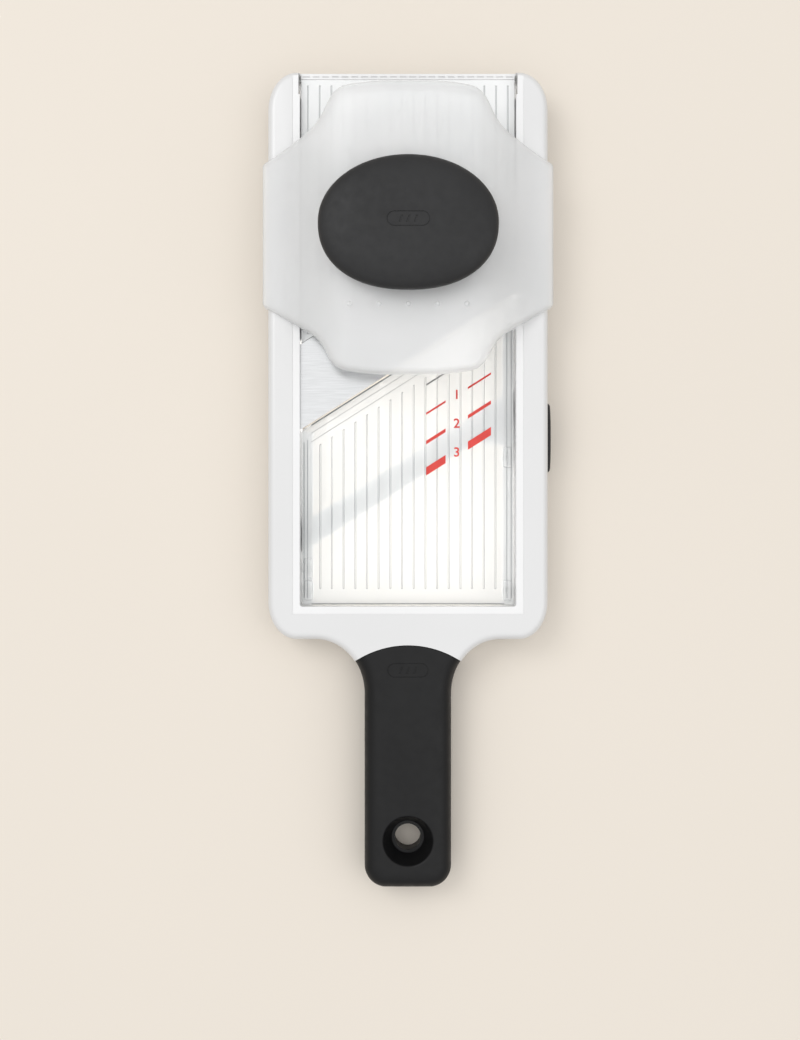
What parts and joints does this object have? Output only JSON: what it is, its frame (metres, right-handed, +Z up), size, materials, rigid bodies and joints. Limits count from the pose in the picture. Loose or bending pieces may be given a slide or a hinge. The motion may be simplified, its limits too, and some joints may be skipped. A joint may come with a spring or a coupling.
{
  "type": "mandoline slicer",
  "caption": "Hand-held mandoline slicer: white frame with soft grip, angled blade, clear adjustable runway, side thickness knob and sliding food holder.",
  "frame": {"origin": "on the table under the middle of the slicer", "axes": "+Y from the handle to the far end, +Z up out of the runway, +X to the side with the thickness knob"},
  "size_m": [0.1312, 0.371, 0.0567],
  "materials": {
    "white_abs": "moulded gloss white",
    "grip_tpe": "fine matte soft grip",
    "knob_tpe": "matte soft grip",
    "foot_tpe": "matte",
    "clear_san": "clear, polished",
    "frosted_pp": "frosted translucent",
    "bar_pom": "satin",
    "blade_steel": "polished stainless",
    "clamp_steel": "brushed",
    "zinc_screw": "plated",
    "spring_steel": "satin"
  },
  "bodies": {
    "frame": {"frame": "white_abs", "handle_grip": "grip_tpe", "fixed_runway": "clear_san", "blade": "blade_steel", "blade_clamp": "clamp_steel", "clamp_screw_1": "zinc_screw", "clamp_screw_2": "zinc_screw", "clamp_screw_3": "zinc_screw", "runway_screw_1": "zinc_screw", "runway_screw_2": "zinc_screw", "runway_screw_3": "zinc_screw", "runway_screw_4": "zinc_screw", "foot_near_left": "foot_tpe", "foot_near_right": "foot_tpe", "foot_far_left": "foot_tpe", "foot_far_right": "foot_tpe"},
    "thickness_slide": {"thickness_bar": "bar_pom", "thickness_knob": "knob_tpe", "knob_screw": "zinc_screw", "detent_spring": "spring_steel"},
    "runway": {"adjustable_runway": "clear_san"},
    "food_holder": {"holder_shell": "frosted_pp", "knob_base": "knob_tpe", "knob_cap": "knob_tpe", "holder_screw_1": "zinc_screw", "holder_screw_2": "zinc_screw", "holder_screw_3": "zinc_screw"}
  },
  "joints": [
    {"name": "thickness_slide", "type": "slide", "parent": "frame", "child": "thickness_slide", "axis": [0, 1, 0], "range_m": [0, 0.0408]},
    {"name": "runway_lift", "type": "slide", "parent": "frame", "child": "runway", "axis": [0, 0, 1], "range_m": [0, 0.0045]},
    {"name": "holder_slide", "type": "slide", "parent": "frame", "child": "food_holder", "axis": [0, 1, 0], "range_m": [-0.125, 0.15]}
  ],
  "couplings": [
    {"joint": "runway_lift", "follows": "thickness_slide", "ratio": 0.11029}
  ]
}
